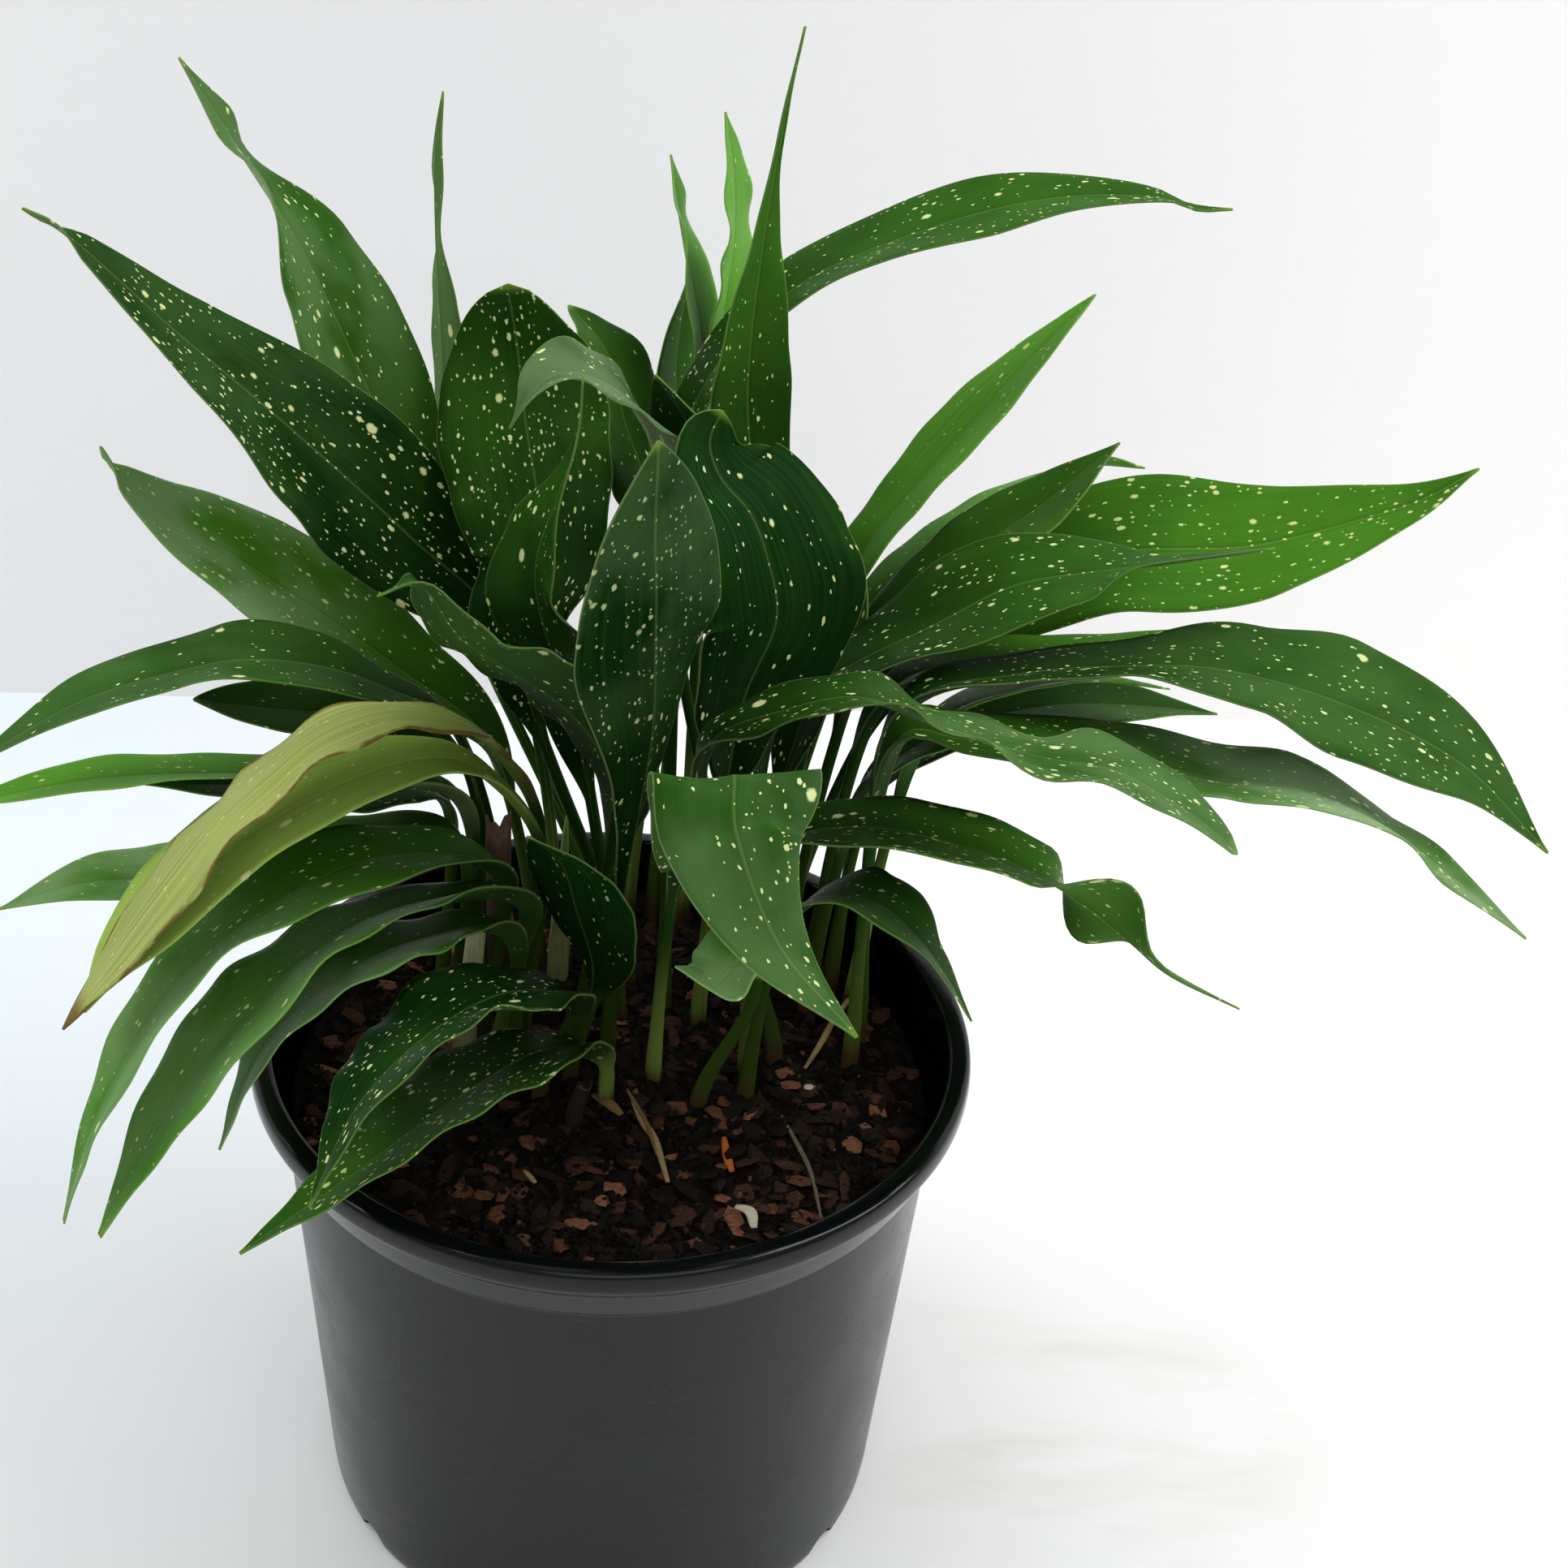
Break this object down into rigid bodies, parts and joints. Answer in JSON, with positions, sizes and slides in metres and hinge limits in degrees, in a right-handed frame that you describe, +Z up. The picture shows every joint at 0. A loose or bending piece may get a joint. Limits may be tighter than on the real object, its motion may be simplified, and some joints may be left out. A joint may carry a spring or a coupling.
{
  "type": "potted cast iron plant",
  "caption": "Potted cast iron plant: arching pointed leaves with pale specks on slim stalks, rising from soil in a round black plastic nursery pot.",
  "frame": {"origin": "middle of the pot's underside", "axes": "+Z up the pot's axis, -Y towards the side the picture shows"},
  "size_m": [0.4206, 0.2974, 0.4161],
  "materials": {
    "pot_plastic": "charcoal moulded plastic, semi-gloss",
    "soil": "dark potting mix with bark chips, matt",
    "leaf": "leathery green leaf with cream specks, satin",
    "yellow_leaf": "dying leaf, pale yellow-green with brown edges, dull",
    "young_leaf": "rolled young leaf, light green, satin",
    "dry_stalk": "dry brown sheath, matt",
    "pale_stalk": "cut pale green stalk, dull"
  },
  "bodies": {
    "root": {"leaf_front_1": "leaf", "leaf_front_2": "leaf", "leaf_front_3": "leaf", "leaf_left_1": "leaf", "leaf_left_10": "leaf", "leaf_left_11": "leaf", "leaf_left_12": "leaf", "leaf_left_13": "leaf", "leaf_left_14": "leaf", "leaf_left_15": "leaf", "leaf_left_2": "leaf", "leaf_left_3": "leaf", "leaf_left_4": "leaf", "leaf_left_5": "leaf", "leaf_left_6": "leaf", "leaf_left_7": "leaf", "leaf_left_8": "leaf", "leaf_left_9": "leaf", "leaf_right_1": "leaf", "leaf_right_10": "leaf", "leaf_right_11": "leaf", "leaf_right_12": "leaf", "leaf_right_13": "leaf", "leaf_right_14": "leaf", "leaf_right_15": "leaf", "leaf_right_2": "leaf", "leaf_right_3": "leaf", "leaf_right_4": "leaf", "leaf_right_5": "leaf", "leaf_right_6": "leaf", "leaf_right_7": "leaf", "leaf_right_8": "leaf", "leaf_right_9": "leaf", "leaf_upright_1": "leaf", "leaf_upright_10": "leaf", "leaf_upright_11": "leaf", "leaf_upright_12": "leaf", "leaf_upright_2": "leaf", "leaf_upright_3": "leaf", "leaf_upright_4": "leaf", "leaf_upright_5": "leaf", "leaf_upright_6": "leaf", "leaf_upright_7": "leaf", "leaf_upright_8": "leaf", "leaf_upright_9": "leaf", "leaf_yellowing_1": "yellow_leaf", "leaf_yellowing_2": "yellow_leaf", "pot": "pot_plastic", "shoot_1": "young_leaf", "shoot_2": "young_leaf", "soil": "soil", "stub_1": "dry_stalk", "stub_2": "pale_stalk", "stub_3": "dry_stalk"}
  },
  "joints": []
}
